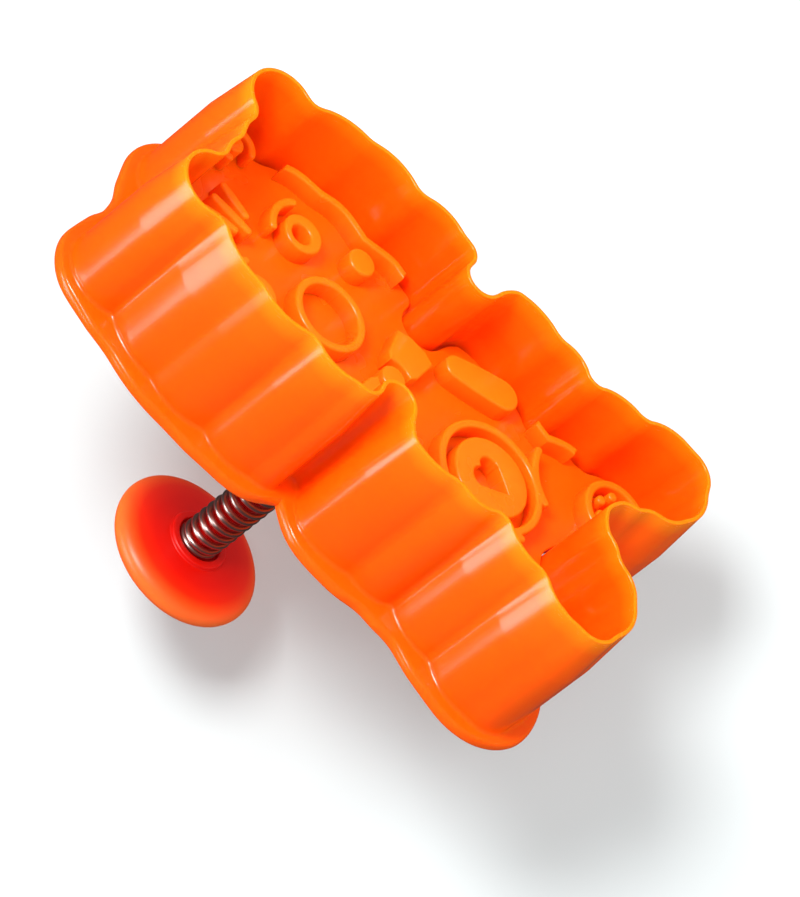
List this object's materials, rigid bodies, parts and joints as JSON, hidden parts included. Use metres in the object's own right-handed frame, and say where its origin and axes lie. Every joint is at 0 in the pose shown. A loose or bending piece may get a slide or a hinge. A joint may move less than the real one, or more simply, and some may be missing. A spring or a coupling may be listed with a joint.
{
  "type": "plunger cookie cutter",
  "caption": "Plunger cutter with a deep wall in a teddy bear outline, a relief stamp plate inside it, and a round knob on a sprung stem that pushes the plate forward.",
  "frame": {"origin": "centre of the object's footprint, on the plane of the cutting edge", "axes": "+Z from the cutting edge up to the knob, along the plunger; +Y from the figure's feet to its ears; +X to the side of the mirror-symmetric figure"},
  "size_m": [0.0548, 0.0963, 0.0653],
  "materials": {
    "orange_plastic": "smooth glossy orange moulding, slightly translucent",
    "knob_plastic": "glossy red-orange moulding",
    "spring_steel": "bright drawn steel wire",
    "screw_steel": "zinc-plated steel"
  },
  "bodies": {
    "cutter": {"cutter_shell": "orange_plastic", "return_spring": "spring_steel"},
    "plunger": {"stamp_plate": "orange_plastic", "plunger_stem": "knob_plastic", "knob_body": "knob_plastic", "knob_screw": "screw_steel", "knob_cap": "knob_plastic"}
  },
  "joints": [
    {"name": "plunger_press", "type": "slide", "parent": "cutter", "child": "plunger", "axis": [0, 0, -1], "range_m": [0, 0.0136], "stiffness_N_per_m": 450, "springref_m": -0.006, "deforming": ["return_spring"]}
  ]
}
